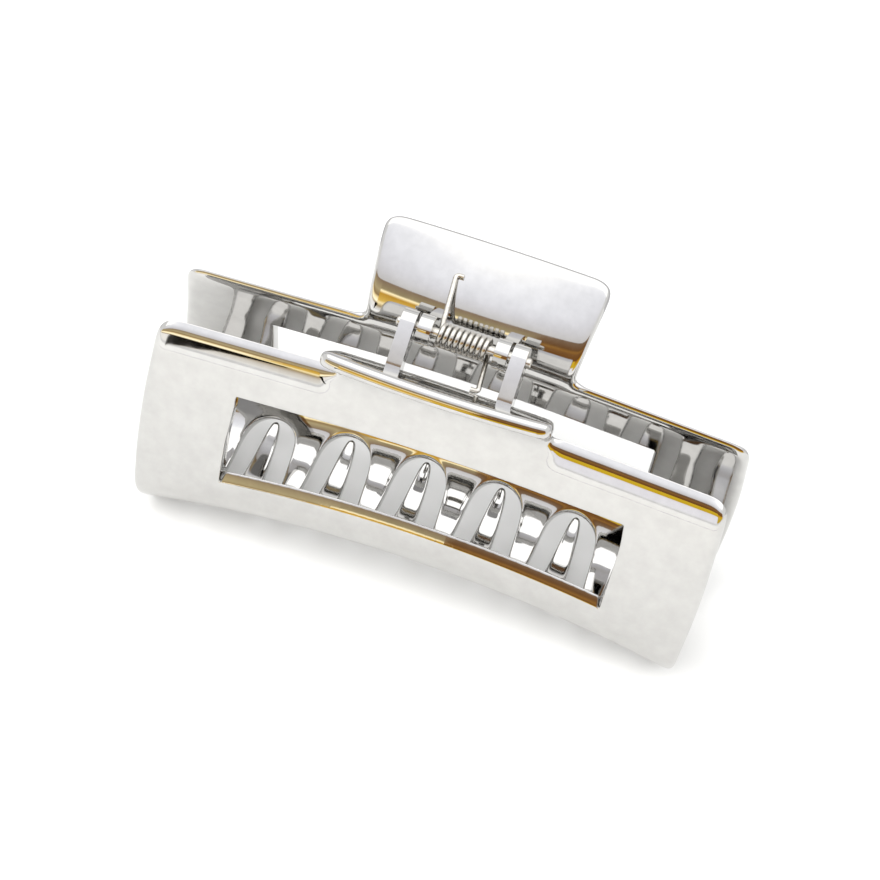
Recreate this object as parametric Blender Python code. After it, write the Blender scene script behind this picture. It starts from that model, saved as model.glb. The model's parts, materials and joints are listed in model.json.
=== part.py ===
"""Claw hair clip: two hinged jaws with finger pads, a hinge pin and a torsion spring.

X runs along the hinge, the front jaw is on the -Y side, +Z points at the finger pads.
The base of the lowest teeth stands on z = 0.  All driving dimensions are in millimetres.
"""

import math

import bmesh
import bpy
from mathutils import Vector
from mathutils.geometry import delaunay_2d_cdt

MM = 0.001

# Jaw sheet, seen flat: x along the hinge, s down the sheet from the top edge of the panel
PANEL_HALF = 45.0
PANEL_HALF_BOTTOM = 43.6
PANEL_CORNER = 2.2
PANEL_EDGE = 0.1
PAD_HALF_BASE = 16.6
PAD_HALF_TOP = 18.2
PAD_LENGTH = 15.9
PAD_CORNER = 2.2
PAD_FILLET = 1.3
WINDOW_HALF_TOP = 30.7
WINDOW_HALF_BOTTOM = 30.0
WINDOW_TOP = 9.1
WINDOW_BOTTOM = 23.4
ROOT_LINE = 31.1
TOOTH_PITCH = 12.4
TOOTH_LENGTH = 21.0
TOOTH_ARCH = 3.8
FRONT_TOOTH_PHASE = -3.3

# Half width of a tooth against the distance from its root
TOOTH_WIDTHS = ((3.8, 2.05), (7.5, 1.86), (15.0, 1.4), (19.2, 1.0))

# Half thickness of the sheet against s
HALF_THICKNESS = (
    (-15.9, 1.2), (-2.0, 1.15), (12.0, 1.15), (22.0, 1.6), (31.0, 1.6), (36.0, 1.2), (52.0, 0.75)
)

# Edge rounding against s
EDGE_ROUND = ((-15.9, 1.05), (-2.0, 1.0), (26.0, 1.0), (33.0, 0.45), (52.0, 0.4))
WINDOW_ROUND = 0.3

# Heading of the sheet in section, degrees from straight down towards the hair, against s
HEADINGS = (
    (-16.8, 48.5), (-4.1, 47.0), (-1.3, 22.0), (0.4, 1.0), (2.0, -15.0), (8.0, -17.0),
    (20.0, -10.5), (25.3, -2.0), (31.4, 50.0), (42.4, 90.0), (53.4, 130.0),
)

# Start of the section, from the hinge axis: top edge of the panel
TOP_EDGE_OUT = 6.6
TOP_EDGE_DOWN = 6.6

# Bow of the clip along its length, so the floor follows the head
WING_START = 17.0
WING_SLOPE = 0.06
FLOOR_BOW = 0.0028
BOW_FROM = -14.9
BOW_TO = -29.4

# Dish of the finger pads: the middle of the pad stands out past its sides
DISH_DEPTH = 1.0
DISH_FROM = -3.0

# Hinge
LUG_RADIUS = 2.3
BORE_RADIUS = 1.1
LUG_FOOT_TOP = -3.2
LUG_FOOT_BOTTOM = 3.6
FRONT_LUG_X = 8.7
FRONT_LUG_THICK = 2.3
REAR_LUG_X = 6.0
REAR_LUG_THICK = 2.1
PIN_RADIUS = 0.8
PIN_HALF = 10.6

# Torsion spring
WIRE_RADIUS = 0.4
WIRE_SIDES = 8
COIL_RADIUS = 1.53
COIL_HALF = 3.9
COIL_TURNS = 9
COIL_STEPS = 16
REAR_LEG_CONTACT = -9.5
FRONT_LEG_CONTACT = -4.6
REAR_LEG_SPLAY = 1.1
FRONT_LEG_SPLAY = 0.8
LEG_CLEARANCE = 0.12
FOOT_BEND = 0.6
FOOT_LENGTH = 0.6


def table(rows, at):
    """Straight-line reading of a small table."""
    if at <= rows[0][0]:
        return rows[0][1]
    for (a, u), (b, v) in zip(rows, rows[1:]):
        if at <= b:
            return u + (v - u) * (at - a) / (b - a)
    return rows[-1][1]


def smooth(t):
    t = min(max(t, 0.0), 1.0)
    return t * t * (3.0 - 2.0 * t)


def integrate(start, stop, step):
    """Points (s, out, up, heading) of the sheet's middle line, walked from the top edge."""
    out, up, s = TOP_EDGE_OUT, -TOP_EDGE_DOWN, start
    points = [(s, out, up, math.radians(table(HEADINGS, s)))]
    while abs(s - stop) > 1e-6:
        mid = math.radians(table(HEADINGS, s + step / 2))
        out -= math.sin(mid) * step
        up -= math.cos(mid) * step
        s += step
        points.append((s, out, up, math.radians(table(HEADINGS, s))))
    return points


SECTION_STEP = 0.2
SECTION = integrate(0.0, -16.0, -SECTION_STEP)[:0:-1] + integrate(0.0, 53.4, SECTION_STEP)


def section(s):
    """Middle line (out, up, heading) at s."""
    place = (s - SECTION[0][0]) / SECTION_STEP
    i = min(max(int(place), 0), len(SECTION) - 2)
    f = place - i
    a, b = SECTION[i], SECTION[i + 1]
    return tuple(p + (q - p) * f for p, q in zip(a[1:], b[1:]))


def bow(x, up):
    """How far the clip drops at x, for a point whose height in the middle section is up."""
    x = abs(x)
    if x < WING_START:
        wing = WING_SLOPE * x * x / (2 * WING_START)
    else:
        wing = WING_SLOPE * (x - WING_START / 2)
    low = smooth((up - BOW_FROM) / (BOW_TO - BOW_FROM))
    return wing + (FLOOR_BOW * x * x - wing) * low


def folded(x, s, n):
    """Flat sheet point to the rear jaw: n is measured outwards from the middle line."""
    out, up, heading = section(s)
    drop = bow(x, up)
    if s < DISH_FROM:
        grow = (DISH_FROM - s) / (PAD_LENGTH + DISH_FROM)
        n += DISH_DEPTH * grow * (1.0 - (x / PAD_HALF_TOP) ** 2)
    return Vector((x, out + n * math.cos(heading), up - n * math.sin(heading) - drop))


def arc(cx, cy, radius, start, stop, count, squash=1.0):
    """Points on an arc, angles in degrees, ends included."""
    points = []
    for i in range(count + 1):
        a = math.radians(start + (stop - start) * i / count)
        points.append((cx + radius * math.cos(a), cy + radius * squash * math.sin(a)))
    return points


def line(a, b, spacing):
    """Points between a and b, ends left out."""
    count = max(1, round(math.dist(a, b) / spacing))
    return [
        (a[0] + (b[0] - a[0]) * i / count, a[1] + (b[1] - a[1]) * i / count)
        for i in range(1, count)
    ]


def joined(pieces, spacing):
    """Closed loop through runs of points, with straight runs between them filled in."""
    loop = []
    for i, piece in enumerate(pieces):
        loop += piece
        loop += line(piece[-1], pieces[(i + 1) % len(pieces)][0], spacing)
    return loop


def panel_half(s):
    return PANEL_HALF - (PANEL_HALF - PANEL_HALF_BOTTOM) * smooth((s - 12.0) / 20.0)


def tooth_side(x, side, root):
    """One flank of a tooth from its root to its tip, side +1 or -1."""
    points = [(x + side * w, root + u) for u, w in TOOTH_WIDTHS]
    last = TOOTH_WIDTHS[-1][0]
    ogive = TOOTH_WIDTHS[-1][1]
    for a in (35, 68):
        c, t = math.cos(math.radians(a)), math.sin(math.radians(a))
        points.append((x + side * ogive * c, root + last + (TOOTH_LENGTH - last) * t))
    return points


def teeth_run(centres):
    """Comb edge from the +x end to the -x end of the sheet."""
    run = []
    first, last = centres[-1], centres[0]
    base = TOOTH_WIDTHS[0][1]
    gap = TOOTH_PITCH / 2 - base
    edge = panel_half(ROOT_LINE)
    if edge - first - base > 4.0:
        corner = PANEL_CORNER
        run += arc(edge - corner, ROOT_LINE - corner, corner, 0, 90, 4)
        run += arc(first + base + gap, ROOT_LINE + TOOTH_ARCH, gap, 270, 205, 5, TOOTH_ARCH / gap)
    for x in reversed(centres):
        run += tooth_side(x, 1, ROOT_LINE)
        run += [(x, ROOT_LINE + TOOTH_LENGTH)]
        run += tooth_side(x, -1, ROOT_LINE)[::-1]
        if x != last:
            middle = x - TOOTH_PITCH / 2
            bend = arc(middle, ROOT_LINE + TOOTH_ARCH, gap, 0, -180, 10, TOOTH_ARCH / gap)
            run += bend[1:-1]
    if edge + last - base > 4.0:
        corner = PANEL_CORNER
        run += arc(last - base - gap, ROOT_LINE + TOOTH_ARCH, gap, -25, -90, 5, TOOTH_ARCH / gap)
        run += arc(-edge + corner, ROOT_LINE - corner, corner, 90, 180, 4)
    return run


def outline(centres):
    """Outer loop of the flat sheet: pad, panel and teeth."""
    side = []
    for s in (ROOT_LINE - 3.4, 24.0, 20.0, 16.0, 12.0, 8.0, 4.0):
        side.append((panel_half(s), s))
    lean = math.degrees(math.atan2(PAD_HALF_TOP - PAD_HALF_BASE, PAD_LENGTH))
    pad_top = -PAD_LENGTH
    corner = arc(PANEL_HALF - PANEL_CORNER, PANEL_EDGE + PANEL_CORNER, PANEL_CORNER, 0, -90, 4)
    fillet = arc(PAD_HALF_BASE + PAD_FILLET, PANEL_EDGE - PAD_FILLET, PAD_FILLET, 90, 180 - lean, 3)
    tip = arc(PAD_HALF_TOP - PAD_CORNER, pad_top + PAD_CORNER, PAD_CORNER, lean, -90, 4)
    right = [side, corner, fillet, tip]
    left = [[(-x, s) for x, s in reversed(run)] for run in reversed(right)]
    return joined(right + left + [teeth_run(centres)[::-1]], 3.0)


def window_loop():
    """Window of the panel, corners left sharp."""
    corners = [
        (WINDOW_HALF_TOP, WINDOW_TOP),
        (-WINDOW_HALF_TOP, WINDOW_TOP),
        (-WINDOW_HALF_BOTTOM, WINDOW_BOTTOM),
        (WINDOW_HALF_BOTTOM, WINDOW_BOTTOM),
    ]
    return joined([[c] for c in corners], 4.2)


def area(loop):
    return sum(a[0] * b[1] - b[0] * a[1] for a, b in zip(loop, loop[1:] + loop[:1])) / 2


def inset(loop, depth):
    """Loop moved into the material by depth(x, s); outer loops turn positive, holes negative."""
    moved = []
    for i, (x, s) in enumerate(loop):
        before, after = loop[i - 1], loop[(i + 1) % len(loop)]
        a = Vector((x - before[0], s - before[1])).normalized()
        b = Vector((after[0] - x, after[1] - s)).normalized()
        na, nb = Vector((-a.y, a.x)), Vector((-b.y, b.x))
        n = (na + nb).normalized()
        reach = depth(x, s) / max(n.dot(na), 0.6)
        moved.append((x + n.x * reach, s + n.y * reach))
    return moved


def inside(point, loops):
    """Even-odd test."""
    x, y = point
    odd = False
    for loop in loops:
        for (ax, ay), (bx, by) in zip(loop, loop[1:] + loop[:1]):
            if (ay > y) != (by > y) and x < ax + (bx - ax) * (y - ay) / (by - ay):
                odd = not odd
    return odd


def clear_of(point, loops, reach):
    return all(math.dist(point, q) > reach for loop in loops for q in loop)


def sheet(name, centres):
    """The folded sheet as one closed mesh."""
    outer = outline(centres)
    if area(outer) < 0:
        outer.reverse()
    hole = window_loop()
    if area(hole) > 0:
        hole.reverse()

    def edge(x, s):
        return table(EDGE_ROUND, s)

    def rim(x, s):
        return WINDOW_ROUND

    def half(s):
        return table(HALF_THICKNESS, s)

    bm = bmesh.new()
    rings = []
    flat = []
    for loop, depth, softness in ((outer, edge, (0.0, 45.0, 90.0)), (hole, rim, (0.0, 90.0))):
        stack = []
        for side in (1, -1):
            for a in softness if side > 0 else softness[::-1]:
                sink, rise = 1 - math.sin(math.radians(a)), math.cos(math.radians(a))
                moved = inset(loop, lambda x, s: depth(x, s) * sink)
                row = []
                for (x, s), (_, s0) in zip(moved, loop):
                    n = half(s0) - depth(x, s0) * (1 - rise)
                    row.append(bm.verts.new(folded(x, s, side * n)))
                stack.append(row)
        rings.append(stack)
        flat.append(inset(loop, depth))
    for stack in rings:
        for upper, lower in zip(stack, stack[1:]):
            for i in range(len(upper)):
                j = (i + 1) % len(upper)
                bm.faces.new((upper[i], upper[j], lower[j], lower[i]))
    seeds = []
    s = -13.0
    row = 0
    while s < ROOT_LINE + 16:
        x = -42.0 + (row % 2) * 2.25
        while x < 43.0:
            if inside((x, s), flat) and clear_of((x, s), flat, 1.7):
                seeds.append((x, s))
            x += 4.5
        s += 2.2 if s < 22 else 1.7
        row += 1
    points = [Vector(p) for loop in flat for p in loop] + [Vector(p) for p in seeds]
    edges = []
    start = 0
    for loop in flat:
        count = len(loop)
        edges += [(start + i, start + (i + 1) % count) for i in range(count)]
        start += count
    verts, _, faces, origin, _, _ = delaunay_2d_cdt(points, edges, [], 0, 1e-5)
    for side in (1, -1):
        lookup = []
        for i, v in enumerate(verts):
            first = origin[i][0] if origin[i] else -1
            if 0 <= first < len(flat[0]):
                lookup.append(rings[0][0 if side > 0 else -1][first])
            elif len(flat[0]) <= first < start:
                lookup.append(rings[1][0 if side > 0 else -1][first - len(flat[0])])
            else:
                lookup.append(bm.verts.new(folded(v.x, v.y, side * half(v.y))))
        for face in faces:
            middle = sum((verts[i] for i in face), Vector((0, 0))) / 3
            if inside((middle.x, middle.y), flat):
                bm.faces.new([lookup[i] for i in face])
    loose = [v for v in bm.verts if not v.link_faces]
    bmesh.ops.delete(bm, geom=loose, context="VERTS")
    bmesh.ops.recalc_face_normals(bm, faces=bm.faces)
    return finished(name, bm)


def finished(name, bm):
    mesh = bpy.data.meshes.new(name)
    bm.to_mesh(mesh)
    bm.free()
    thing = bpy.data.objects.new(name, mesh)
    bpy.context.collection.objects.link(thing)
    return thing


def prism(name, points, low, high):
    """Outline in (y, z) swept along x."""
    bm = bmesh.new()
    rows = [[bm.verts.new((x, y, z)) for y, z in points] for x in (low, high)]
    bm.faces.new(rows[0][::-1])
    bm.faces.new(rows[1])
    for i in range(len(points)):
        j = (i + 1) % len(points)
        bm.faces.new((rows[0][i], rows[0][j], rows[1][j], rows[1][i]))
    bmesh.ops.recalc_face_normals(bm, faces=bm.faces)
    return finished(name, bm)


def lug_outline():
    """Hub round the pin and an arm whose foot is sunk in the sheet, in (out, up)."""
    upper, lower = section(LUG_FOOT_TOP), section(LUG_FOOT_BOTTOM)
    angles = []
    for (out, up, _), way in ((upper, 1), (lower, -1)):
        away = math.hypot(out, up)
        angles.append(math.degrees(math.atan2(up, out) + way * math.acos(LUG_RADIUS / away)))
    first, last = angles
    hub = arc(0.0, 0.0, LUG_RADIUS, first, last + 360.0, 14)
    return hub + [(lower[0], lower[1]), (upper[0], upper[1])]


def apply_boolean(thing, cutter, kind):
    step = thing.modifiers.new(kind.lower(), "BOOLEAN")
    step.operation = kind
    step.solver = "EXACT"
    step.object = cutter
    bpy.context.view_layer.update()
    depsgraph = bpy.context.evaluated_depsgraph_get()
    mesh = bpy.data.meshes.new_from_object(thing.evaluated_get(depsgraph))
    thing.modifiers.clear()
    thing.data = mesh
    mesh.name = thing.name
    bpy.data.objects.remove(cutter)


def add_lugs(jaw, x_lug, thick):
    for side in (-1, 1):
        low, high = side * x_lug - thick / 2, side * x_lug + thick / 2
        apply_boolean(jaw, prism("lug", lug_outline(), low, high), "UNION")
    bore = prism("bore", arc(0.0, 0.0, BORE_RADIUS, 0.0, 345.0, 23), -14.0, 14.0)
    apply_boolean(jaw, bore, "DIFFERENCE")


def tidy(thing):
    """Weld, triangulate and drop slivers left by the unions."""
    bm = bmesh.new()
    bm.from_mesh(thing.data)
    bmesh.ops.remove_doubles(bm, verts=bm.verts, dist=1e-4)
    bmesh.ops.triangulate(bm, faces=bm.faces)
    bmesh.ops.dissolve_degenerate(bm, edges=bm.edges, dist=1e-4)
    bmesh.ops.triangulate(bm, faces=bm.faces)
    bmesh.ops.recalc_face_normals(bm, faces=bm.faces)
    bm.to_mesh(thing.data)
    bm.free()


def tangent_angle(tip, way):
    """Angle on the coil where a straight leg to the tip leaves it."""
    away = math.hypot(*tip)
    return math.atan2(tip[1], tip[0]) + way * math.acos(COIL_RADIUS / away)


def on_coil(x, angle):
    return Vector((x, COIL_RADIUS * math.cos(angle), COIL_RADIUS * math.sin(angle)))


def leg_tip(contact, side):
    """Where a leg's wire ends, resting on the inner face of a pad at s = contact."""
    stand_off = table(HALF_THICKNESS, contact) + WIRE_RADIUS + LEG_CLEARANCE
    resting = folded(COIL_HALF, contact, -stand_off)
    return (side * resting.y, resting.z)


def leg(tip, base, splay, foot_way):
    """Points from the coil out to the tip and round into the foot, base left out."""
    end = Vector((base.x - foot_way * splay, tip[0], tip[1]))
    along = (end - base).normalized()
    side = Vector((foot_way, 0.0, 0.0))
    centre = end - along * FOOT_BEND + side * FOOT_BEND
    points = [base.lerp(end - along * FOOT_BEND, f) for f in (0.25, 0.5, 0.75)]
    for i in range(5):
        a = math.pi / 2 * i / 4
        points.append(centre - side * FOOT_BEND * math.cos(a) + along * FOOT_BEND * math.sin(a))
    points.append(points[-1] + side * FOOT_LENGTH)
    return points


def spring_path():
    """Foot, leg, coil, leg and foot, wound from the rear jaw's side to the front jaw's."""
    rear_tip = leg_tip(REAR_LEG_CONTACT, 1)
    front_tip = leg_tip(FRONT_LEG_CONTACT, -1)
    first = tangent_angle(rear_tip, -1)
    last = tangent_angle(front_tip, 1)
    sweep = (first - last) % (2 * math.pi) + 2 * math.pi * COIL_TURNS
    count = COIL_TURNS * COIL_STEPS
    coil = []
    for i in range(count + 1):
        f = i / count
        coil.append(on_coil(-COIL_HALF + 2 * COIL_HALF * f, first - sweep * f))
    rear = leg(rear_tip, coil[0], REAR_LEG_SPLAY, 1.0)
    front = leg(front_tip, coil[-1], FRONT_LEG_SPLAY, -1.0)
    return rear[::-1] + coil + front


def wire(name, path, radius, sides):
    """Round wire along a path, ends closed."""
    bm = bmesh.new()
    heading = (path[1] - path[0]).normalized()
    across = heading.orthogonal().normalized()
    rows = []
    for i, p in enumerate(path):
        before = path[max(i - 1, 0)]
        after = path[min(i + 1, len(path) - 1)]
        heading = (after - before).normalized()
        across = (across - heading * across.dot(heading)).normalized()
        up = heading.cross(across)
        row = []
        for k in range(sides):
            a = 2 * math.pi * k / sides
            row.append(bm.verts.new(p + (across * math.cos(a) + up * math.sin(a)) * radius))
        rows.append(row)
    for upper, lower in zip(rows, rows[1:]):
        for k in range(sides):
            j = (k + 1) % sides
            bm.faces.new((upper[k], upper[j], lower[j], lower[k]))
    bm.faces.new(rows[0][::-1])
    bm.faces.new(rows[-1])
    bmesh.ops.recalc_face_normals(bm, faces=bm.faces)
    return finished(name, bm)


def pin(name):
    """Plain wire axle with broken end edges."""
    bm = bmesh.new()
    rows = []
    chamfer = 0.2
    stations = (
        (-PIN_HALF, PIN_RADIUS - chamfer), (-PIN_HALF + chamfer, PIN_RADIUS),
        (PIN_HALF - chamfer, PIN_RADIUS), (PIN_HALF, PIN_RADIUS - chamfer),
    )
    for x, r in stations:
        ring = arc(0.0, 0.0, r, 0.0, 345.0, 23)
        rows.append([bm.verts.new((x, y, z)) for y, z in ring])
    for upper, lower in zip(rows, rows[1:]):
        for k in range(24):
            j = (k + 1) % 24
            bm.faces.new((upper[k], upper[j], lower[j], lower[k]))
    bm.faces.new(rows[0][::-1])
    bm.faces.new(rows[-1])
    bmesh.ops.recalc_face_normals(bm, faces=bm.faces)
    return finished(name, bm)


def material(name, colour, roughness, metallic):
    stuff = bpy.data.materials.new(name)
    stuff.use_nodes = True
    shader = stuff.node_tree.nodes["Principled BSDF"]
    shader.inputs["Base Color"].default_value = (*colour, 1.0)
    shader.inputs["Roughness"].default_value = roughness
    shader.inputs["Metallic"].default_value = metallic
    return stuff


def lowest(thing):
    return min(v.co.z for v in thing.data.vertices)


def place(thing, height, stuff, smooth_angle):
    """Millimetres to metres, origin on the hinge axis, material and smooth shading."""
    for v in thing.data.vertices:
        v.co *= MM
    thing.location = (0.0, 0.0, height * MM)
    thing.data.materials.clear()
    thing.data.materials.append(stuff)
    bpy.ops.object.select_all(action="DESELECT")
    thing.select_set(True)
    bpy.context.view_layer.objects.active = thing
    bpy.ops.object.shade_smooth_by_angle(angle=math.radians(smooth_angle))


def turn_half(thing):
    """Half turn about the vertical, which makes a rear jaw a front jaw."""
    for v in thing.data.vertices:
        v.co.x, v.co.y = -v.co.x, -v.co.y


def main():
    for old in list(bpy.data.objects):
        bpy.data.objects.remove(old)

    front_teeth = [FRONT_TOOTH_PHASE + TOOTH_PITCH * k for k in range(-3, 4)]
    rear_teeth = [FRONT_TOOTH_PHASE + TOOTH_PITCH * (k + 0.5) for k in range(-3, 4)]

    rear_jaw = sheet("rear_jaw", rear_teeth)
    add_lugs(rear_jaw, REAR_LUG_X, REAR_LUG_THICK)
    tidy(rear_jaw)

    front_jaw = sheet("front_jaw", [-x for x in reversed(front_teeth)])
    add_lugs(front_jaw, FRONT_LUG_X, FRONT_LUG_THICK)
    tidy(front_jaw)
    turn_half(front_jaw)

    hinge_pin = pin("hinge_pin")
    torsion_spring = wire("torsion_spring", spring_path(), WIRE_RADIUS, WIRE_SIDES)

    chrome = material("chrome_plated_abs", (0.80, 0.79, 0.77), 0.06, 1.0)
    steel = material("nickel_plated_steel", (0.62, 0.61, 0.60), 0.2, 1.0)
    height = -min(lowest(rear_jaw), lowest(front_jaw))
    for jaw in (rear_jaw, front_jaw):
        place(jaw, height, chrome, 35.0)
    place(hinge_pin, height, steel, 35.0)
    place(torsion_spring, height, steel, 60.0)

    for thing in bpy.data.objects:
        corners = [thing.matrix_world @ Vector(c) for c in thing.bound_box]
        low = [round(min(c[i] for c in corners) * 1000, 2) for i in range(3)]
        high = [round(max(c[i] for c in corners) * 1000, 2) for i in range(3)]
        print(thing.name, len(thing.data.polygons), "faces", low, high)
    print("hinge height", round(height, 3))


main()
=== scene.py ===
# %% [markdown]
# # A rectangular claw hair clip in bright chrome
# The clip is two moulded jaws that turn on a short steel pin.  A torsion spring
# on the pin pushes the finger pads apart and so holds the teeth together.
# The solids of the part are the frame of this scene: they fix every size and the hinge.
# Here each solid gets a smooth twin, because mirror-bright plating shows every facet,
# and then its finish, its light and its camera.

import json
import math

import bpy
from mathutils import Matrix, Vector


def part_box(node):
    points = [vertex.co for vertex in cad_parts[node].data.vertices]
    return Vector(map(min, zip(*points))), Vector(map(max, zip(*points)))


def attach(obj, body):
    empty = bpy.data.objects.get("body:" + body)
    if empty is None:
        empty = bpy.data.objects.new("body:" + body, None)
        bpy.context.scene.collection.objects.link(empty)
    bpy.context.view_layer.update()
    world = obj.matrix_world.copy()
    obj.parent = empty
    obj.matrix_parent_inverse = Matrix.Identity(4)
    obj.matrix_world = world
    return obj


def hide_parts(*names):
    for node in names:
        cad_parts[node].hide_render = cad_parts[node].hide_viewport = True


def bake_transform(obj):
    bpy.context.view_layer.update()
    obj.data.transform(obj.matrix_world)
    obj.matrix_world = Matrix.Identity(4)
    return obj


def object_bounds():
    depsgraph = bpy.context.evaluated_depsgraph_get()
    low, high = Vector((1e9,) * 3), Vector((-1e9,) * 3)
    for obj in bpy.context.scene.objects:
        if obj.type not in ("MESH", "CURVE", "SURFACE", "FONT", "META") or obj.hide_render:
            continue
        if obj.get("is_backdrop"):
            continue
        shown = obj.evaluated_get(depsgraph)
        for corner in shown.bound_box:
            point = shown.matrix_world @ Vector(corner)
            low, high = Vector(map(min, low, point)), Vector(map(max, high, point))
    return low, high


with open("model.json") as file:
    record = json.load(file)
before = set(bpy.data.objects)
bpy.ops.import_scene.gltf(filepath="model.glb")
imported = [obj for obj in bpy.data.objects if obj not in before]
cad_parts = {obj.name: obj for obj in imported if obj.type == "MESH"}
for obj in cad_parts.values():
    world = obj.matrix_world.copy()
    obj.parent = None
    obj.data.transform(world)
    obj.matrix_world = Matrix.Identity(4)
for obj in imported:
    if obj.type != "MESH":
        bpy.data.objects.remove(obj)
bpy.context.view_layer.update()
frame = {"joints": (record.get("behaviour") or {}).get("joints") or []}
AXIS = Vector(frame["joints"][0]["pos_m"])

# %% [markdown]
# The jaws are drawn in millimetres on a flat sheet first: x runs along the hinge and s
# runs down the sheet, from the top edge of the panel.  Negative s is the finger pad.
# Both jaws come off the same drawing; only the places of the teeth differ.

# %% Sizes of the flat sheet, in millimetres
MM = 0.001
PANEL_HALF, PANEL_HALF_BOTTOM, PANEL_TOP = 45.0, 43.6, 0.1
PAD_HALF_BASE, PAD_HALF_TOP, PAD_LENGTH = 16.6, 18.2, 15.9
CORNER, CORNER_CUT = 2.2, 0.64  # reach of a rounded corner, and how far its point moves in
WINDOW_HALF_TOP, WINDOW_HALF_BOTTOM = 30.7, 30.0
WINDOW_TOP, WINDOW_BOTTOM = 9.1, 23.4
SILL_RIDGE = (21.9, 0.47)  # s and n of the sloping sill's inner edge
ROOT, PITCH, ARCH = 31.1, 12.4, 3.8  # s of the comb edge, tooth to tooth, rise of an arch
TOOTH_HALF = 2.05
TOOTH_WIDTHS = (  # distance below the comb edge, and half width there
    (ARCH, TOOTH_HALF), (7.5, 1.86), (11.2, 1.63), (15.0, 1.4),
    (17.4, 1.2), (19.2, 1.0), (20.5, 0.72), (21.0, 0.34),
)
HALF_THICKNESS = (  # by s
    (-15.9, 1.2), (-2.0, 1.15), (12.0, 1.15), (22.0, 1.6), (31.0, 1.6), (36.0, 1.2), (52.0, 0.75),
)
EDGE_ROUND = ((-15.9, 0.75), (-2.0, 1.0), (26.0, 1.0), (33.0, 0.45), (52.0, 0.4))  # by s
WINDOW_ROUND = 0.2
REAR_TEETH = [2.9 + PITCH * k for k in range(-3, 4)]
FRONT_TEETH = [3.3 + PITCH * k for k in range(-3, 4)]


def table(rows, at):
    """Straight-line reading of a small table."""
    if at <= rows[0][0]:
        return rows[0][1]
    for (a, u), (b, v) in zip(rows, rows[1:]):
        if at <= b:
            return u + (v - u) * (at - a) / (b - a)
    return rows[-1][1]


def smooth(t):
    """0 up to 0, 1 from 1 on, and an easy rise between."""
    t = min(max(t, 0.0), 1.0)
    return t * t * (3.0 - 2.0 * t)


def panel_half(s):
    """Half length of the panel, which narrows a little towards the comb."""
    return PANEL_HALF - (PANEL_HALF - PANEL_HALF_BOTTOM) * smooth((s - 12.0) / 20.0)


print("rear teeth at", [round(x, 1) for x in REAR_TEETH])

# %% [markdown]
# The mould bends that sheet: the finger pad leans out, the panel leans the other way,
# and the teeth curl in under the hair.  The bend is one section curve, walked step by
# step from its headings.  Along its length the clip also bows a little, so that it
# follows a head, and the pads are dished for the finger tips.

# %% How the sheet is bent
TOP_OUT, TOP_UP = 6.6, -6.6  # the panel's top edge, out from the hinge and up from it
HEADINGS = (  # by s
    (-16.8, 52.0), (-9.0, 48.5), (-6.4, 44.5), (-4.6, 37.5), (-1.3, 22.0), (0.4, 1.0),
    (2.0, -15.0), (8.0, -17.0), (20.0, -10.5), (25.3, -2.0), (31.4, 50.0), (42.4, 90.0),
    (53.4, 130.0),
)
SHEET_START, SHEET_END, STEP = -17.0, 53.4, 0.1


def heading(s):
    """Degrees from straight down towards the hair, eased over a millimetre each way."""
    return sum(table(HEADINGS, s + d) for d in (-1.0, -0.5, 0.0, 0.5, 1.0)) / 5


def walk(stop, step):
    """Middle line from the panel's top edge to s = stop, as rows of s, out, up and heading."""
    out, up, s = TOP_OUT, TOP_UP, 0.0
    points = [(s, out, up, math.radians(heading(s)))]
    while abs(s - stop) > 1e-6:
        mid = math.radians(heading(s + step / 2))
        out, up, s = out - math.sin(mid) * step, up - math.cos(mid) * step, s + step
        points.append((s, out, up, math.radians(heading(s))))
    return points


SECTION = walk(SHEET_START, -STEP)[:0:-1] + walk(SHEET_END, STEP)


def section(s):
    """Middle line of the sheet at s: out from the hinge, up from it, and heading."""
    place = (s - SECTION[0][0]) / STEP
    i = min(max(int(place), 0), len(SECTION) - 2)
    return tuple(p + (q - p) * (place - i) for p, q in zip(SECTION[i][1:], SECTION[i + 1][1:]))


# %% Bow, dish and crown, in millimetres
WING_FROM, WING_SLOPE = 17.0, 0.06  # beyond x the shoulders run straight, at this slope
COMB_BOW, BOW_FROM, BOW_OVER = 0.0028, -14.9, -14.5  # the comb's bow, eased in by height
DISH_FROM = 3.0
SHOULDER_FROM, SHOULDER_OVER = 15.5, 3.5  # by x, beside the finger pad
CROWN_END, CROWN_SLOPE, CROWN_CURVE = 4.8, 0.05, 0.026  # the soft crown of the shoulders
LIP_END, LIP_LENGTH, LIP_DEPTH = 2.2, 2.1, 0.36  # where they turn over at the top


def bow(x, up):
    """How far the clip drops at x, for a point at that height in its middle section."""
    x = abs(x)
    if x < WING_FROM:
        wing = WING_SLOPE * x * x / (2 * WING_FROM)
    else:
        wing = WING_SLOPE * (x - WING_FROM / 2)
    return wing + (COMB_BOW * x * x - wing) * smooth((up - BOW_FROM) / BOW_OVER)


def folded(x, s, n):
    """Flat sheet to rear jaw, n millimetres outside the middle line; metres, in place."""
    out, up, lean = section(s)
    drop = bow(x, up)
    if s < -DISH_FROM:
        n += (-DISH_FROM - s) / (PAD_LENGTH - DISH_FROM) * (1.0 - (x / PAD_HALF_TOP) ** 2)
    wing = smooth((abs(x) - SHOULDER_FROM) / SHOULDER_OVER) * smooth((s + 1.6) / 1.7)
    if wing > 0.0 and s < CROWN_END:
        top = max(s, PANEL_TOP)
        left = CROWN_END - top
        crown = (CROWN_SLOPE + CROWN_CURVE * left) * left * smooth((n + 0.9) / 1.8)
        n -= wing * (LIP_DEPTH * (max(LIP_END - top, 0.0) / LIP_LENGTH) ** 2 + crown)
    place = Vector((x, out + n * math.cos(lean), up - n * math.sin(lean) - drop))
    return AXIS + place * MM


print("section walked in", len(SECTION), "steps")

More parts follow.
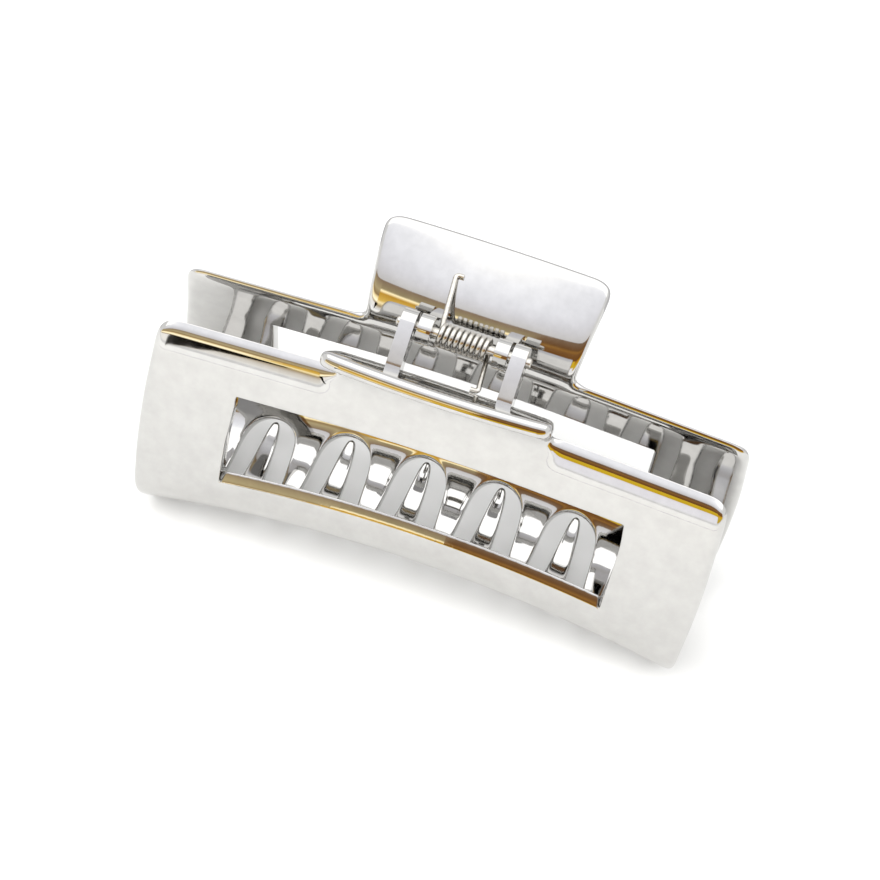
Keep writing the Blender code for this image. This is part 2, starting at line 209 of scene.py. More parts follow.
# %% [markdown]
# The flat sheet is a grid primitive.  Its columns are first dealt out so that each tooth
# has three and each gap between teeth has five more, which lets the comb edge follow
# round arches.  Higher up, the same columns move over to the sides of the window and of
# the finger pad.  Faces outside the drawing are then deleted.


# %% Columns and rows of the grid
def comb_columns(teeth):
    """x of every column at the comb edge, from one end of the jaw to the other."""
    gap = PITCH / 2 - TOOTH_HALF
    columns = []
    for k, c in enumerate(teeth):
        columns += [c - TOOTH_HALF, c, c + TOOTH_HALF]
        if k < len(teeth) - 1:
            middle = c + PITCH / 2
            columns += [middle + gap * math.cos(math.radians(a)) for a in (150, 120, 90, 60, 30)]
    first = teeth[0] - PITCH / 2
    ends = [-PANEL_HALF_BOTTOM, first - 1.0, first + gap * 0.2, first + gap * 0.5, first + gap * 0.87]
    return ends + columns


def panel_columns(comb, s):
    """The same columns at a row of the panel, matched to pad, window and corners."""
    half = panel_half(s)
    lean = (s - WINDOW_TOP) / (WINDOW_BOTTOM - WINDOW_TOP)
    side = WINDOW_HALF_TOP + (WINDOW_HALF_BOTTOM - WINDOW_HALF_TOP) * min(max(lean, 0.0), 1.0)
    last = len(comb) - 1
    fixed = {0: -half, 1: -half + CORNER, last: half, last - 1: half - CORNER}
    for way in (-1, 1):
        i = min(range(3, last - 2), key=lambda i: abs(comb[i] - way * side))
        for step in (-1, 0, 1):
            fixed[i + step] = way * side + 0.5 * step
        j = min(range(last), key=lambda j: abs(comb[j] - way * PAD_HALF_BASE))
        fixed[j] = way * PAD_HALF_BASE
        fixed[j - way] = way * (PAD_HALF_BASE - CORNER)
    marks = sorted(fixed)
    columns = []
    for a, b in zip(marks, marks[1:]):
        columns += [fixed[a] + (fixed[b] - fixed[a]) * t / (b - a) for t in range(b - a)]
    return columns + [fixed[last]]


def near(columns, x):
    """Number of the column nearest to x."""
    return min(range(len(columns)), key=lambda i: abs(columns[i] - x))


PAD_ROWS = [-PAD_LENGTH, -13.7, -11.2, -8.6, -6.0, -3.6, -1.6]
PANEL_ROWS = [
    PANEL_TOP, 2.3, 4.6, 6.8, 8.6, WINDOW_TOP, 9.6, 12.5, 16.2, 19.9,
    22.9, WINDOW_BOTTOM, 23.9, 25.6, 27.4,
]
COMB_ROWS = [0.5, 1.0]  # shares of the way from the last panel row to the comb edge
TIP_ROWS = [u for u, _ in TOOTH_WIDTHS[1:]]
print("rows", len(PAD_ROWS) + len(PANEL_ROWS) + len(COMB_ROWS) + len(TIP_ROWS))


# %% [markdown]
# Edit-mode operators act on what is selected, so a small helper selects faces by a test
# on their middle point, and another one edges by a test on their two ends.


# %% Selecting by place
def only(thing):
    """Select this object alone and make it the active one."""
    bpy.ops.object.select_all(action="DESELECT")
    thing.select_set(True)
    bpy.context.view_layer.objects.active = thing


def pick(thing, kind, test):
    """In edit mode, select the elements of that kind that pass the test, and count them."""
    bpy.ops.mesh.select_mode(type=kind)
    bpy.ops.mesh.select_all(action="DESELECT")
    bpy.ops.object.mode_set(mode="OBJECT")
    mesh = thing.data
    many = {"VERT": mesh.vertices, "EDGE": mesh.edges, "FACE": mesh.polygons}[kind]
    count = 0
    for one in many:
        if kind == "EDGE":
            chosen = test(*[mesh.vertices[i].co for i in one.vertices])
        else:
            chosen = test(one.co if kind == "VERT" else one.center)
        one.select = bool(chosen)
        count += one.select
    bpy.ops.object.mode_set(mode="EDIT")
    return count


def apply_all(thing):
    """Apply every modifier, in order."""
    only(thing)
    for modifier in list(thing.modifiers):
        bpy.ops.object.modifier_apply(modifier=modifier.name)


# %% [markdown]
# A jaw in six moves: grid, cut to the drawing, thickened, edges rounded, smoothed, and
# folded.  The inner edge of the window's lower side is lifted, so that the sill slopes.
# The bevel takes its width from each edge's own weight, so that the panel has soft
# pillowed edges while the teeth stay slim.  The fold comes last, on the fine mesh,
# because then the reflections follow the true curve of the mould and not the coarse grid.


# %% Places of the grid points
BLOCKS = (len(PAD_ROWS), len(PAD_ROWS) + len(PANEL_ROWS))
COMB_TO = BLOCKS[1] + len(COMB_ROWS)


def comb_edge(comb, teeth):
    """s of the comb edge at each column: round arches between the teeth."""
    gap = PITCH / 2 - TOOTH_HALF
    edge = []
    for i, x in enumerate(comb):
        off = min(abs(c - x) for c in teeth)
        if x < teeth[0] - PITCH / 2 - 0.1:
            edge.append(ROOT if i else ROOT - CORNER_CUT)
        elif off < TOOTH_HALF + 0.01:
            edge.append(ROOT + ARCH)
        else:
            t = min(abs(off - PITCH / 2) / gap, 1.0)
            edge.append(ROOT + ARCH * (1.0 - math.sqrt(1.0 - t * t)))
    return edge


def cut_corner(x, s):
    return x - math.copysign(CORNER_CUT, x), s + CORNER_CUT


def pad_sides(comb):
    columns = panel_columns(comb, 0.0)
    return near(columns, -PAD_HALF_BASE), near(columns, PAD_HALF_BASE)


def pad_point(comb, i, j):
    x, s = panel_columns(comb, 0.0)[i], PAD_ROWS[j]
    x *= 1.0 + (PAD_HALF_TOP / PAD_HALF_BASE - 1.0) * -s / PAD_LENGTH
    corner = j == 0 and i in pad_sides(comb)
    return cut_corner(x, s) if corner else (x, s)


def panel_point(comb, i, j):
    x, s = panel_columns(comb, PANEL_ROWS[j])[i], PANEL_ROWS[j]
    corner = j == 0 and i in (0, len(comb) - 1)
    return cut_corner(x, s) if corner else (x, s)


def comb_point(comb, edge, i, j):
    t, above = COMB_ROWS[j], PANEL_ROWS[-1]
    x = panel_columns(comb, above)[i]
    x += (comb[i] - x) * (0.6 if t < 1.0 else 1.0)
    if t == 1.0 and i == 0:
        x += CORNER_CUT
    return x, above + (edge[i] - above) * t


def tooth_point(comb, teeth, i, j):
    u, half = TOOTH_WIDTHS[j + 1]
    middle = min(teeth, key=lambda c: abs(c - comb[i]))
    s = ROOT + u
    if abs(comb[i] - middle) > 1.0 and half < 0.5:
        s -= 0.15
    return middle + (comb[i] - middle) / TOOTH_HALF * half, s


print("blocks of rows end at", BLOCKS, COMB_TO)


# %% The flat sheet
def flat_sheet(name, teeth):
    """A grid laid out to the drawing, with the faces outside the drawing deleted."""
    comb = comb_columns(teeth)
    nx, ny = len(comb), COMB_TO + len(TIP_ROWS)
    bpy.ops.mesh.primitive_grid_add(x_subdivisions=nx - 1, y_subdivisions=ny - 1, size=90.0)
    sheet = bpy.context.object
    sheet.name = sheet.data.name = name
    pad_to, panel_to = BLOCKS
    edge = comb_edge(comb, teeth)
    for number, v in enumerate(sheet.data.vertices):
        j, i = divmod(number, nx)
        if j < pad_to:
            x, s = pad_point(comb, i, j)
        elif j < panel_to:
            x, s = panel_point(comb, i, j - pad_to)
        elif j < COMB_TO:
            x, s = comb_point(comb, edge, i, j - panel_to)
        else:
            x, s = tooth_point(comb, teeth, i, j - COMB_TO)
        v.co = (x, -s, 0.0)
    left, right = pad_sides(comb)
    middle_row = panel_columns(comb, 12.0)
    window_l, window_r = near(middle_row, -WINDOW_HALF_TOP), near(middle_row, WINDOW_HALF_TOP)
    top, bottom = pad_to + PANEL_ROWS.index(WINDOW_TOP), pad_to + PANEL_ROWS.index(WINDOW_BOTTOM)
    whole = len(sheet.data.polygons)
    for face in sheet.data.polygons:
        j, i = divmod(min(face.vertices), nx)
        keep = True
        if j < pad_to:
            keep = left <= i < right
        elif j >= COMB_TO - 1:
            keep = any(abs((comb[i] + comb[i + 1]) / 2 - c) < TOOTH_HALF for c in teeth)
        if top <= j < bottom and window_l <= i < window_r:
            keep = False
        face.select = not keep
    for v in sheet.data.vertices:
        v.select = False
    for e in sheet.data.edges:
        e.select = False
    bpy.ops.object.mode_set(mode="EDIT")
    bpy.ops.mesh.select_mode(type="FACE")
    bpy.ops.mesh.delete(type="FACE")
    bpy.ops.object.mode_set(mode="OBJECT")
    print(name, "flat sheet of", len(sheet.data.polygons), "faces from", whole)
    return sheet


# %% Thickness, edges and fold
WALL_BELOW = 0.9  # a face whose normal has less z than this is part of the wall


def thicken(sheet):
    """Two skins and a wall between them, thick as the mould at each s."""
    bpy.ops.object.mode_set(mode="EDIT")
    bpy.ops.mesh.select_all(action="SELECT")
    bpy.ops.mesh.extrude_region_move(TRANSFORM_OT_translate={"value": (0.0, 0.0, 1.0)})
    bpy.ops.mesh.select_all(action="SELECT")
    bpy.ops.mesh.normals_make_consistent(inside=False)
    bpy.ops.object.mode_set(mode="OBJECT")
    for v in sheet.data.vertices:
        x, s, outer = v.co.x, -v.co.y, v.co.z > 0.5
        v.co.z = table(HALF_THICKNESS, s) * (1.0 if outer else -1.0)
        if abs(s - WINDOW_BOTTOM) < 0.05 and abs(x) < WINDOW_HALF_BOTTOM + 0.1 and not outer:
            v.co.y, v.co.z = -SILL_RIDGE[0], SILL_RIDGE[1]


def round_edges(sheet):
    """Bevel weights on the rim, wide on the panel and slim on window and teeth."""
    mesh = sheet.data
    weights = mesh.attributes.new("bevel_weight_edge", "FLOAT", "EDGE")
    walls = {}
    for face in mesh.polygons:
        if abs(face.normal.z) < WALL_BELOW:
            for key in face.edge_keys:
                walls[key] = walls.get(key, 0) + 1
    for edge in mesh.edges:
        a, b = (mesh.vertices[i].co for i in edge.vertices)
        if tuple(sorted(edge.vertices)) in walls and a.z * b.z > 0:
            x, s = (a.x + b.x) / 2, -(a.y + b.y) / 2
            window = abs(x) < WINDOW_HALF_TOP + 0.8 and WINDOW_TOP - 1.1 < s < WINDOW_BOTTOM + 0.6
            ridge = max(abs(a.z - SILL_RIDGE[1]), abs(b.z - SILL_RIDGE[1])) < 0.01
            width = WINDOW_ROUND if window or ridge else table(EDGE_ROUND, s)
            weights.data[edge.index].value = width
    bevel = sheet.modifiers.new("rounded rim", "BEVEL")
    bevel.limit_method = "WEIGHT"
    bevel.width, bevel.segments, bevel.profile = 1.0, 2, 0.5
    bevel.use_clamp_overlap = False
    soft = sheet.modifiers.new("smooth", "SUBSURF")
    soft.levels = soft.render_levels = 2
    apply_all(sheet)


def fold(sheet, turned):
    """Bend the flat sheet into a rear jaw, or a front jaw when it is turned half round."""
    for v in sheet.data.vertices:
        place = folded(v.co.x, -v.co.y, v.co.z)
        v.co = Vector((-place.x, -place.y, place.z)) if turned else place
    only(sheet)
    bpy.ops.object.mode_set(mode="EDIT")
    bpy.ops.mesh.select_all(action="SELECT")
    bpy.ops.mesh.normals_make_consistent(inside=False)
    bpy.ops.object.mode_set(mode="OBJECT")
    bpy.ops.object.shade_smooth()


# %% The two jaws
def jaw(name, teeth, turned):
    sheet = flat_sheet(name, teeth)
    thicken(sheet)
    round_edges(sheet)
    fold(sheet, turned)
    print(name, len(sheet.data.polygons), "faces")
    return sheet


rear_shell = jaw("rear_jaw_shell", REAR_TEETH, False)
front_shell = jaw("front_jaw_shell", FRONT_TEETH, True)

# %% [markdown]
# Each jaw carries a pair of lugs that the pin runs through.  A lug starts as a cylinder
# across the jaw.  Its end caps are inset and bridged to make the bore, and the half that
# faces the jaw is then pulled down and laid along the middle of the sheet.


# %% Helpers for round pieces
def round_bar(name, x, radius, length):
    """A cylinder along the hinge, x millimetres from the middle, with its place in its mesh."""
    bpy.ops.object.select_all(action="DESELECT")
    bpy.ops.mesh.primitive_cylinder_add(
        vertices=48, radius=radius, depth=length,
        location=AXIS + Vector((x * MM, 0.0, 0.0)), rotation=(0.0, math.pi / 2, 0.0),
    )
    bar = bpy.context.object
    bar.name = bar.data.name = name
    bpy.ops.object.transform_apply(location=True, rotation=True, scale=True)
    return bar


def soften_rims(piece, width, segments):
    """Round the sharp rims, width in millimetres, and shade the rest smooth."""
    rim = piece.modifiers.new("soft edges", "BEVEL")
    rim.width, rim.segments, rim.limit_method = width * MM, segments, "ANGLE"
    rim.angle_limit = math.radians(50)
    apply_all(piece)
    bpy.ops.object.shade_smooth_by_angle(angle=math.radians(35))


# %% Lugs, in millimetres
LUG_RADIUS, BORE_RADIUS = 2.3, 0.86
LUG_FOOT = (-3.2, 3.6)  # where the foot starts and ends, down the sheet
FOOT_BEYOND = 1.6  # what is further from the axis than this moves with the foot
REAR_LUG, FRONT_LUG = (6.0, 2.1), (8.7, 2.3)  # distance from the middle, and thickness


def lug(name, x, thick, turned):
    """A ring on the hinge axis with a foot that runs out to the jaw."""
    way = -1.0 if turned else 1.0
    piece = round_bar(name, x, LUG_RADIUS * MM, thick * MM)
    bpy.ops.object.mode_set(mode="EDIT")
    pick(piece, "FACE", lambda c: math.hypot(c.y - AXIS.y, c.z - AXIS.z) < 0.5 * MM)
    bpy.ops.mesh.inset(thickness=(LUG_RADIUS - BORE_RADIUS) * MM)
    bpy.ops.mesh.bridge_edge_loops()
    bpy.ops.object.mode_set(mode="OBJECT")
    ends = [section(s) for s in LUG_FOOT]
    upper, lower = (Vector((0.0, way * p[0], p[1])) * MM for p in ends)
    along = ((upper + lower) / 2).normalized()
    across = (upper - lower).normalized()
    for v in piece.data.vertices:
        off = v.co - AXIS
        off.x = 0.0
        if off.length > FOOT_BEYOND * MM and off.dot(along) > 1e-5:
            t = 0.5 - 0.5 * off.dot(across - along * across.dot(along)) / (LUG_RADIUS * MM)
            foot = upper.lerp(lower, min(max(t, 0.0), 1.0))
            v.co = Vector((v.co.x, AXIS.y + foot.y, AXIS.z + foot.z))
    soften_rims(piece, 0.4, 4)
    return piece


rear_lugs = [
    lug("rear_lug_left", -REAR_LUG[0], REAR_LUG[1], False),
    lug("rear_lug_right", *REAR_LUG, False),
]
front_lugs = [
    lug("front_lug_left", -FRONT_LUG[0], FRONT_LUG[1], True),
    lug("front_lug_right", *FRONT_LUG, True),
]
print("lugs", [o.name for o in rear_lugs + front_lugs])

# %% [markdown]
# The pin is a short length of drawn wire whose ends are domed where they were cropped
# and headed.  It starts as a cylinder, and its two end rims are bevelled wide.

# %% Hinge pin
low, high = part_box("hinge_pin")
pin = round_bar("hinge_pin_wire", 0.0, (high.z - low.z) / 2, high.x - low.x)
soften_rims(pin, 0.42, 5)
print("pin", tuple(round((b - a) / MM, 2) for a, b in zip(low, high)), "mm")

# %% [markdown]
# The spring is one wire: a foot and a leg up the rear pad, a close coil round the pin,
# and a leg and a foot on the front pad.  A curve is the natural tool for wire.  Its
# points are computed the way a spring maker would give them: turns, coil radius, and the
# places where the legs rest.  It is then made a mesh.

# %% Sizes of the spring, in millimetres
WIRE, COIL_RADIUS, COIL_HALF, TURNS = 0.4, 1.53, 3.9, 9
PER_TURN = 36  # points on a turn
REAR_REST, FRONT_REST = -9.5, -4.6  # s where each leg rests on its pad
REAR_SPLAY, FRONT_SPLAY = 1.1, 0.8  # how far a leg leans towards the middle
BEND, CLEAR = 0.6, 0.05  # radius of the foot's bend, and gap under the leg


def leg_tip(contact, side):
    """End of a leg from the hinge: out on that side, and up."""
    depth = table(HALF_THICKNESS, contact) + WIRE + CLEAR
    rest = folded(COIL_HALF, contact, -depth) - AXIS
    return side * rest.y / MM, rest.z / MM


def leaves_at(tip, way):
    """Angle at which a straight leg to that tip leaves the coil."""
    return math.atan2(tip[1], tip[0]) + way * math.acos(COIL_RADIUS / math.hypot(*tip))


def leg(tip, base, splay, way):
    """Straight leg from the coil, a quarter bend, and a short foot."""
    end = Vector((base.x - way * splay, tip[0], tip[1]))
    along = (end - base).normalized()
    side = Vector((way, 0.0, 0.0))
    centre = end - along * BEND + side * BEND
    points = [base.lerp(end - along * BEND, f / 8) for f in range(1, 8)]
    for i in range(9):
        a = math.pi / 16 * i
        points.append(centre - side * BEND * math.cos(a) + along * BEND * math.sin(a))
    return points + [points[-1] + side * BEND]


print("wire", 2 * WIRE, "mm, coil", round(2 * (COIL_RADIUS + WIRE), 2), "mm outside")

# %% Spring
rear_tip, front_tip = leg_tip(REAR_REST, 1), leg_tip(FRONT_REST, -1)
first, last = leaves_at(rear_tip, -1), leaves_at(front_tip, 1)
sweep = (first - last) % (2 * math.pi) + 2 * math.pi * TURNS
coil = []
for i in range(TURNS * PER_TURN + 1):
    f = i / (TURNS * PER_TURN)
    a = first - sweep * f
    x = -COIL_HALF + 2 * COIL_HALF * f
    coil.append(Vector((x, COIL_RADIUS * math.cos(a), COIL_RADIUS * math.sin(a))))
path = leg(rear_tip, coil[0], REAR_SPLAY, 1.0)[::-1] + coil
path += leg(front_tip, coil[-1], FRONT_SPLAY, -1.0)
line = bpy.data.curves.new("torsion_spring_wire", "CURVE")
line.dimensions = "3D"
line.bevel_depth, line.bevel_resolution, line.use_fill_caps = WIRE * MM, 3, True
run = line.splines.new("POLY")
run.points.add(len(path) - 1)
for point, place in zip(run.points, path):
    point.co = (*(AXIS + place * MM), 1.0)
spring = bpy.data.objects.new("torsion_spring_wire", line)
bpy.context.scene.collection.objects.link(spring)
only(spring)
bpy.ops.object.convert(target="MESH")
spring = bpy.context.object
bpy.ops.object.shade_smooth_by_angle(angle=math.radians(60))
print("spring wire of", len(path), "points,", len(spring.data.polygons), "faces")

# %% [markdown]
# Now the finishes.  A shader is a small graph, so one helper adds a node with its
# settings and its links, and another turns the usual hex colours to linear light.


# %% Helpers for materials
def linear(code):
    parts = [int(code[i : i + 2], 16) / 255 for i in (1, 3, 5)]
    return [p / 12.92 if p <= 0.04045 else ((p + 0.055) / 1.055) ** 2.4 for p in parts] + [1.0]


def add(tree, kind, settings=None, **links):
    """A node with its attributes and input values set, and inputs linked by name."""
    node = tree.nodes.new(kind)
    for key, value in (settings or {}).items():
        if key in node.inputs:
            node.inputs[key].default_value = value
        else:
            setattr(node, key, value)
    for key, socket in links.items():
        tree.links.new(socket, node.inputs[key.replace("_", " ")])
    return node


def new_material(name):
    stuff = bpy.data.materials.new(name)
    stuff.use_nodes = True
    stuff.node_tree.nodes.clear()
    return stuff, stuff.node_tree


# %% [markdown]
# **Chrome-plated ABS, moulded and electroplated.**  The bright layer is only a few
# tenths of a micrometre of chromium over polished nickel and copper, so it copies the
# moulding under it: a near perfect mirror with a faint warm grey, with the slow waves
# that plastic takes as it shrinks (a few millimetres long), and a thin haze of handling.

# %% Chrome
SHRINK_WAVE = 160.0  # waves about 6 mm long
HAZE = 420.0  # patches about 2.4 mm across
chrome, tree = new_material("chrome_plated_abs_moulded")
place = add(tree, "ShaderNodeTexCoord")
shrink = add(
    tree, "ShaderNodeTexNoise", {"Scale": SHRINK_WAVE, "Detail": 1.0, "Roughness": 0.4},
    Vector=place.outputs["Object"],
)
haze = add(
    tree, "ShaderNodeTexNoise", {"Scale": HAZE, "Detail": 3.0, "Roughness": 0.6},
    Vector=place.outputs["Object"],
)
rough = add(
    tree, "ShaderNodeMapRange",
    {"From Min": 0.3, "From Max": 0.75, "To Min": 0.03, "To Max": 0.075},
    Value=haze.outputs["Fac"],
)
tint = add(tree, "ShaderNodeValToRGB", Fac=haze.outputs["Fac"])
dull, bright = tint.color_ramp.elements
dull.position, dull.color = 0.3, linear("#BBBAB8")
bright.position, bright.color = 0.7, linear("#C3C2C0")
wave = add(
    tree, "ShaderNodeBump", {"Strength": 0.25, "Distance": 0.00006},
    Height=shrink.outputs["Fac"],
)
shader = add(
    tree, "ShaderNodeBsdfPrincipled", {"Metallic": 1.0}, Base_Color=tint.outputs["Color"],
    Roughness=rough.outputs["Result"], Normal=wave.outputs["Normal"],
)
add(tree, "ShaderNodeOutputMaterial", Surface=shader.outputs["BSDF"])
print(chrome.name, len(tree.nodes), "nodes")

# %% [markdown]
# **Nickel-plated spring steel, drawn.**  Drawing leaves fine lines along the wire and
# plating dulls them to a satin shine, darker and warmer than the chrome.

# %% Steel
GRAIN = 1500.0  # grain about 0.7 mm, drawn coarser than the real one so that it shows
steel, tree = new_material("nickel_plated_steel_drawn")
place = add(tree, "ShaderNodeTexCoord")
grain = add(
    tree, "ShaderNodeTexNoise", {"Scale": GRAIN, "Detail": 2.0, "Roughness": 0.6},
    Vector=place.outputs["Object"],
)
rough = add(
    tree, "ShaderNodeMapRange",
    {"From Min": 0.3, "From Max": 0.7, "To Min": 0.14, "To Max": 0.26},
    Value=grain.outputs["Fac"],
)
tint = add(tree, "ShaderNodeValToRGB", Fac=grain.outputs["Fac"])
dull, bright = tint.color_ramp.elements
dull.position, dull.color = 0.35, linear("#B5B1AA")
bright.position, bright.color = 0.65, linear("#CAC7C1")
marks = add(
    tree, "ShaderNodeBump", {"Strength": 0.15, "Distance": 0.00002},
    Height=grain.outputs["Fac"],
)
shader = add(
    tree, "ShaderNodeBsdfPrincipled", {"Metallic": 1.0}, Base_Color=tint.outputs["Color"],
    Roughness=rough.outputs["Result"], Normal=marks.outputs["Normal"],
)
add(tree, "ShaderNodeOutputMaterial", Surface=shader.outputs["BSDF"])
print(steel.name, len(tree.nodes), "nodes")

# %% [markdown]
# Every piece takes its finish.  The jaws, their lugs and the pin ride on their sides of
# the clip; the spring wire is not attached to either side and stays where it was built.

# %% Finishes and motion
for piece, body, node, stuff in (
    [(rear_shell, "rear_side", "rear_jaw", chrome), (front_shell, "front_side", "front_jaw", chrome)]
    + [(o, "rear_side", "rear_jaw", chrome) for o in rear_lugs]
    + [(o, "front_side", "front_jaw", chrome) for o in front_lugs]
    + [(pin, "rear_side", "hinge_pin", steel)]
):
    piece.data.materials.clear()
    piece.data.materials.append(stuff)
    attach(piece, body)
    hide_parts(node)
spring.data.materials.clear()
spring.data.materials.append(steel)
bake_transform(spring)
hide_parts("torsion_spring")

# %% [markdown]
# Chrome has almost no look of its own; it shows the room.  The clip stands on a pale
# matt table, in a white tent that is open at the front.

# %% Table and tent
bpy.ops.object.select_all(action="DESELECT")
bpy.ops.mesh.primitive_grid_add(x_subdivisions=4, y_subdivisions=4, size=1.6, location=(0.0, 0.0, 0.0))
floor = bpy.context.object
floor.name = "table_top"
paper, tree = new_material("white_paper_matt")
shader = add(tree, "ShaderNodeBsdfPrincipled", {"Base Color": linear("#D8D8D7"), "Roughness": 0.9})
add(tree, "ShaderNodeOutputMaterial", Surface=shader.outputs["BSDF"])
floor.data.materials.append(paper)
floor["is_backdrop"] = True

world = bpy.data.worlds.new("white_tent")
bpy.context.scene.world = world
world.use_nodes = True
tent = world.node_tree.nodes["Background"]
tent.inputs["Color"].default_value = (1.0, 1.0, 1.0, 1.0)
tent.inputs["Strength"].default_value = 1.2
print("floor", tuple(round(d, 2) for d in floor.dimensions[:2]), "m")

# %% [markdown]
# Through the open front the chrome sees a warm brown and golden room, and that draws
# the thin golden lines along every rounded edge.  The room is a set of glowing cards
# which show in reflections only, so their colours never tint the table.  Their places
# and colours are chosen for the look of the clip and follow no real room.  A card glows
# in bands, dealt out from its lower edge to its upper one, with a slight waver.


# %% A glowing card
def card(name, corner, across, upward, bands, taper=0.0):
    """A card from a corner and two edges, in metres, seen in reflections only.

    Bands are rows of height share, colour and strength.  With a taper its upper edge
    stays level while its lower edge rises along the card, by that share of the height.
    """
    corner, across, upward = Vector(corner), Vector(across), Vector(upward)
    bpy.ops.object.select_all(action="DESELECT")
    bpy.ops.mesh.primitive_plane_add(size=2.0)
    sheet = bpy.context.object
    sheet.name = sheet.data.name = name
    for v in sheet.data.vertices:
        u, w = (v.co.x + 1) / 2, (v.co.y + 1) / 2
        w = 1.0 - (1.0 - w) * (1.0 - taper * u)
        v.co = corner + across * u + upward * w
    stuff, tree = new_material(name + "_glow")
    place = add(tree, "ShaderNodeTexCoord")
    flow = add(tree, "ShaderNodeTexNoise", {"Scale": 9.0, "Detail": 3.0}, Vector=place.outputs["Object"])
    part = add(tree, "ShaderNodeSeparateXYZ", Vector=place.outputs["UV"])
    waver = add(tree, "ShaderNodeMapRange", {"To Min": -0.03, "To Max": 0.03}, Value=flow.outputs["Fac"])
    height = add(tree, "ShaderNodeMath", {"operation": "ADD"})
    tree.links.new(part.outputs["Y"], height.inputs[0])
    tree.links.new(waver.outputs["Result"], height.inputs[1])
    ramp = add(tree, "ShaderNodeValToRGB", Fac=height.outputs["Value"])
    while len(ramp.color_ramp.elements) < len(bands):
        ramp.color_ramp.elements.new(0.5)
    for stop, (at, colour, strength) in zip(ramp.color_ramp.elements, bands):
        stop.position = at
        stop.color = [c * strength for c in linear(colour)[:3]] + [1.0]
    glow = add(tree, "ShaderNodeEmission", {"Strength": 1.0}, Color=ramp.outputs["Color"])
    add(tree, "ShaderNodeOutputMaterial", Surface=glow.outputs["Emission"])
    sheet.data.materials.append(stuff)
    sheet.visible_camera = sheet.visible_diffuse = sheet.visible_shadow = False
    sheet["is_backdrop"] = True
    return sheet


# %% Cards
SHINE = 1.92  # the strength at which a card's reflection comes out about as pale as its colour
card("warm_room_left", (-1.0, -0.45, 0.030), (0.870, 0.0, 0.0), (0.0, 0.0, 0.41), (
    (0.00, "#E9E6E2", SHINE), (0.16, "#E9E6E2", SHINE), (0.20, "#8A7450", SHINE), (0.28, "#FFF4D4", 2.3),
    (0.40, "#F0DCA8", 2.0), (0.48, "#8E7450", SHINE), (0.66, "#AFA07A", SHINE), (1.0, "#84705C", SHINE),
))
card("warm_room", (-0.130, -0.45, 0.030), (0.100, 0.0, 0.0), (0.0, 0.0, 0.41), (
    (0.00, "#E4E2DE", SHINE), (0.14, "#A08C68", SHINE), (0.24, "#F3E0AC", 2.1), (0.34, "#D9B458", SHINE),
    (0.58, "#BC8F34", SHINE), (0.66, "#FFEFC0", 2.2), (0.72, "#988A68", SHINE), (1.0, "#84705C", SHINE),
))
card("warm_room_right", (-0.03, -0.45, 0.030), (1.03, 0.0, 0.0), (0.0, 0.0, 0.41), (
    (0.00, "#B79C3A", SHINE), (0.14, "#C9A82C", SHINE), (0.30, "#B07A24", SHINE), (0.40, "#6A4520", SHINE),
    (0.58, "#75502C", SHINE), (0.66, "#8A6230", SHINE), (0.74, "#6A4A2C", SHINE), (1.0, "#7A6450", SHINE),
))
card("mustard_case", (-0.030, -0.27, 0.030), (0.14, 0.0, 0.0), (0.0, 0.0, 0.095), (
    (0.00, "#E4E3E8", SHINE), (0.34, "#E1DFE6", SHINE), (0.40, "#C4A324", SHINE), (1.0, "#CBA92C", SHINE),
))
card("dark_case", (-0.108, -0.27, 0.012), (0.030, 0.0, 0.0), (0.0, 0.0, 0.074), (
    (0.00, "#B9A98A", SHINE), (0.08, "#1A1713", 1.0), (0.9, "#16130F", 1.0), (1.0, "#4A4030", 1.0),
), 0.8)
card("paper_edge", (-0.30, -0.235, 0.0004), (0.60, 0.0, 0.0), (0.0, 0.006, 0.0), (
    (0.00, "#8F8BA6", 1.5), (1.0, "#8F8BA6", 1.5),
))
card("grey_ceiling", (-0.8, -0.47, 0.44), (1.6, 0.0, 0.0), (0.0, 0.0, 0.66), (
    (0.00, "#BDBBBB", SHINE), (0.06, "#C6C4C4", SHINE), (0.20, "#D0CFD3", SHINE), (0.35, "#D9D9DF", SHINE),
    (0.56, "#E5E6EC", SHINE), (0.80, "#F2F3F8", SHINE), (1.0, "#FFFFFF", 2.1),
))
card("white_ceiling", (-1.5, -0.47, 1.10), (3.0, 0.0, 0.0), (0.0, 1.7, 0.20), (
    (0.00, "#FFFFFF", 2.2), (1.0, "#FFFFFF", 2.2),
))
card("back_wall", (-1.0, 0.7, 0.0), (2.0, 0.0, 0.0), (0.0, 0.0, 0.40), (
    (0.00, "#D2D2D5", 1.2), (0.8, "#DADADC", 1.2), (1.0, "#FFFFFF", 1.5),
))
card("back_table", (-1.0, 0.055, 0.0006), (2.0, 0.0, 0.0), (0.0, 0.64, 0.0), (
    (0.00, "#DCDCDE", 1.2), (1.0, "#D2D2D5", 1.2),
))

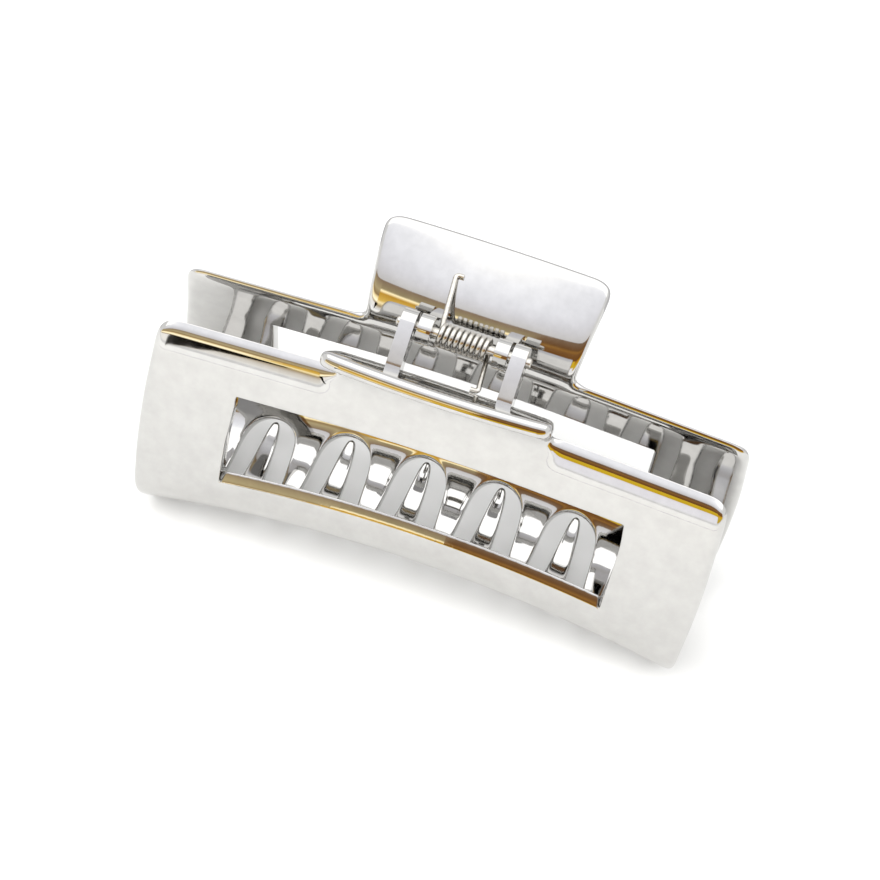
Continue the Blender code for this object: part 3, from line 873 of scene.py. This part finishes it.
# %% [markdown]
# The light that falls on the table comes from a broad soft box, high and a little to
# the left.  It is kept out of the reflections, because the ceiling cards stand for it.

# %% Soft box
lamp = bpy.data.lights.new("soft_box", "AREA")
lamp.shape, lamp.size, lamp.size_y, lamp.energy = "RECTANGLE", 1.2, 1.0, 14.5
light = bpy.data.objects.new("soft_box", lamp)
bpy.context.scene.collection.objects.link(light)
light.location = (-0.15, -0.50, 0.80)
light.visible_glossy = False
light.rotation_euler = (AXIS - light.location).to_track_quat("-Z", "Y").to_euler()
print("lamp of", lamp.energy, "W")

# %% [markdown]
# The camera looks down at 45 degrees from a little to the right, through a long lens,
# and leans so that the clip lies aslant in the frame.

# %% Camera, in metres and radians
centre = Vector((0.0, 0.0, 0.041783))  # the camera is placed from here
azimuth, elevation, roll = 0.160232, math.radians(45.0), 0.203576
DISTANCE = 0.6534
AIM_LEFT, AIM_DOWN = 0.002958, 0.011574  # where it looks, from the centre
level = math.cos(elevation)
back = Vector((math.sin(azimuth) * level, -math.cos(azimuth) * level, math.sin(elevation)))
right = Vector((math.cos(azimuth), math.sin(azimuth), 0.0))
up = back.cross(right)
right, up = (
    right * math.cos(roll) + up * math.sin(roll),
    up * math.cos(roll) - right * math.sin(roll),
)
camera = bpy.data.objects.new("camera", bpy.data.cameras.new("camera"))
bpy.context.scene.collection.objects.link(camera)
bpy.context.scene.camera = camera
camera.data.sensor_width, camera.data.lens = 36.0, 179.56
where = centre + back * DISTANCE
target = centre - right * AIM_LEFT - up * AIM_DOWN
ahead = (target - where).normalized()
side = ahead.cross(up).normalized()
turn = Matrix((side, side.cross(ahead), -ahead)).transposed()
camera.matrix_world = Matrix.Translation(where) @ turn.to_4x4()
camera.data.clip_start, camera.data.clip_end = 0.01, 20.0
bpy.context.scene.view_settings.view_transform = "Standard"
print("camera at", tuple(round(v, 3) for v in where))

# %% The size of the finished model
low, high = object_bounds()
print("size", [round((b - a) / MM, 2) for a, b in zip(low, high)], "mm")
